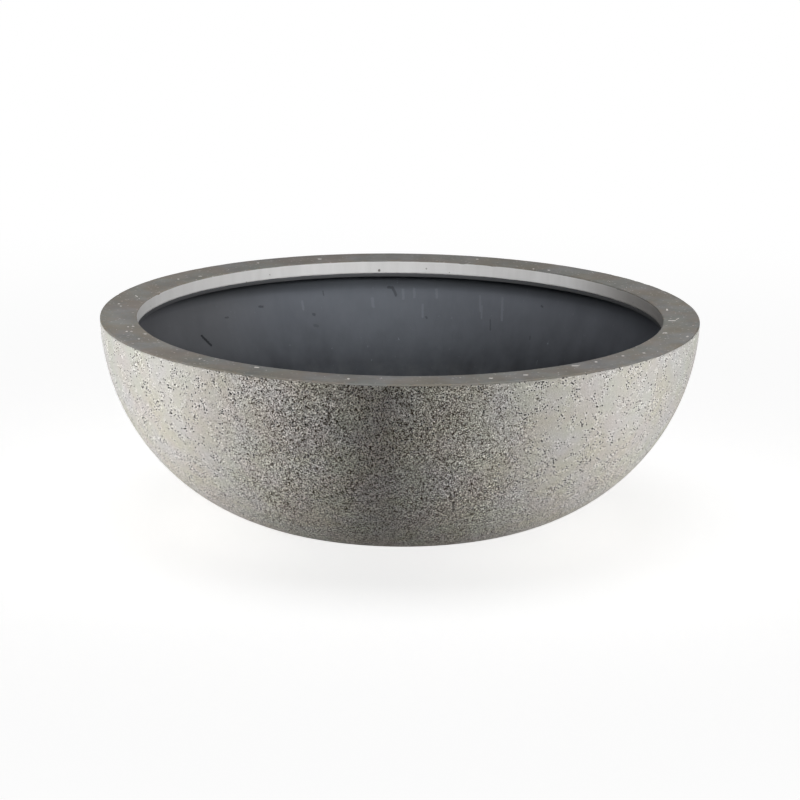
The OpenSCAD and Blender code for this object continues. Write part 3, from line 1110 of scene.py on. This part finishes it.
# Softboxes round the middle: degrees round it from the front, degrees up, metres away, width and height,
# watts, and the group that it lights. The groups keep the boxes apart, as flags do in a studio:
# outside is the cast wall with the pads, and under adds the plug; inside is the rim, the coating, the fibres
# and the plug; rim is the ground rim alone, and ground is the floor.
softboxes = {
    "leftStrip": (-85, 10, 2.2, (0.25, 0.8), 33.0, "outside"),
    "leftLow": (-85, 2, 2.2, (0.25, 0.3), 22.0, "outside"),
    "rightStrip": (76, 10, 2.2, (0.25, 0.8), 27.0, "outside"),
    "rightLow": (76, 2, 2.2, (0.25, 0.3), 16.0, "outside"),
    "frontLow": (5, 2, 2.4, (0.5, 0.3), 2.0, "outside"),
    "backLow": (180, 10, 2.4, (1.6, 0.5), 24.0, "outside"),
    "fromFloor": (0, -85, 2.2, (1.6, 1.6), 8.0, "under"),
    "leftEdge": (-80, 0, 2.2, (0.6, 0.08), 26.0, "rim"),
    "overhead": (0, 88, 2.2, (1.6, 1.6), 14.4, "ground"),
    "leftFill": (-55, 25, 2.5, (0.8, 0.5), 4.5, "inside"),
    "frontBox": (0, 20, 2.5, (1.4, 0.4), 18.0, "inside"),
    "highBox": (0, 42, 2.5, (1.6, 0.8), 27.0, "inside"),
    "sideBox": (30, 20, 2.5, (1.4, 0.4), 19.0, "inside"),
    "rightFill": (80, 25, 2.5, (0.8, 0.5), 16.5, "inside"),
    "backBox": (180, 30, 2.5, (1.6, 1.0), 17.0, "inside"),
}


def makeWorld():
    world = bpy.data.worlds.new("studio")
    bpy.context.scene.world = world
    world.use_nodes = True
    tree = world.node_tree
    white = addNode(tree, "Background", {"Color": (1, 1, 1, 1), "Strength": 1.0})
    dim = addNode(tree, "Background", {"Color": (1, 1, 1, 1), "Strength": studio["fill"]})
    both = mixShader(tree, seenDirectly(tree), dim, white)
    tree.links.new(both.outputs[0], tree.nodes["World Output"].inputs["Surface"])


def makeGroups(floor):
    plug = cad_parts["drain_plug"]
    outside = [castWall] + [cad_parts["pad_" + side] for side in padSides]
    groups = {"inside": [rimRing, coating, rimFibres, plug], "outside": outside, "under": outside + [plug],
              "rim": [rimRing], "ground": [floor]}
    for group, pieces in groups.items():
        collection = bpy.data.collections.new(group)
        for piece in pieces:
            collection.objects.link(piece)


def makeLamps():
    for name, (around, up, away, size, watts, group) in softboxes.items():
        data = bpy.data.lights.new(name, "AREA")
        data.shape = "RECTANGLE"
        data.size, data.size_y = size
        data.energy = watts
        lamp = newObject(name, data)
        turn, lift = math.radians(around), math.radians(up)
        way = Vector((math.sin(turn) * math.cos(lift), -math.cos(turn) * math.cos(lift), math.sin(lift)))
        lamp.location = way * away + Vector(studio["middle"])
        lamp.rotation_euler = (Vector(studio["aim"]) - lamp.location).to_track_quat("-Z", "Y").to_euler()
        lamp.visible_camera = False
        lamp.light_linking.receiver_collection = bpy.data.collections[group]
        if up < 0:  # the floor doesn't block the light that stands for its own glow
            lamp.light_linking.blocker_collection = bpy.data.collections[group]


# The camera, found from the two ellipses of the rim in the photograph, which is 800 pixels wide.
shot = {
    "distance": 6.345,
    "elevation": 12.64,
    "roll": 0.577,
    "lens": 285.4,
    "sensor": 36.0,
    "clip": (0.1, 60),
    "pixels": 800,
    "rimCentre": (399.9, 315.8),  # where the middle of the rim's top face falls
}


def makeCamera():
    data = bpy.data.cameras.new("camera")
    data.lens, data.sensor_width = shot["lens"], shot["sensor"]
    data.clip_start, data.clip_end = shot["clip"]
    camera = newObject("camera", data)
    bpy.context.scene.camera = camera
    tilt = math.radians(shot["elevation"])
    place = Vector((0, 0, rimZ)) + Vector((0, -math.cos(tilt), math.sin(tilt))) * shot["distance"]
    perPixel = data.sensor_width / data.lens / shot["pixels"]
    roll = Matrix.Rotation(math.radians(shot["roll"]), 4, "Z")
    across, down = shot["rimCentre"]
    seen = roll @ Vector((across - shot["pixels"] / 2, shot["pixels"] / 2 - down, 0))
    turn = Matrix.Rotation(math.atan(seen.x * perPixel), 4, "Z")
    pitch = Matrix.Rotation(math.pi / 2 - tilt - math.atan(seen.y * perPixel), 4, "X")
    camera.matrix_world = Matrix.Translation(place) @ turn @ pitch @ roll


makeGroups(makeFloor())
makeLamps()
makeWorld()
makeCamera()
bpy.context.scene.view_settings.view_transform = "Standard"
print("studio ready, lamps:", len(softboxes))
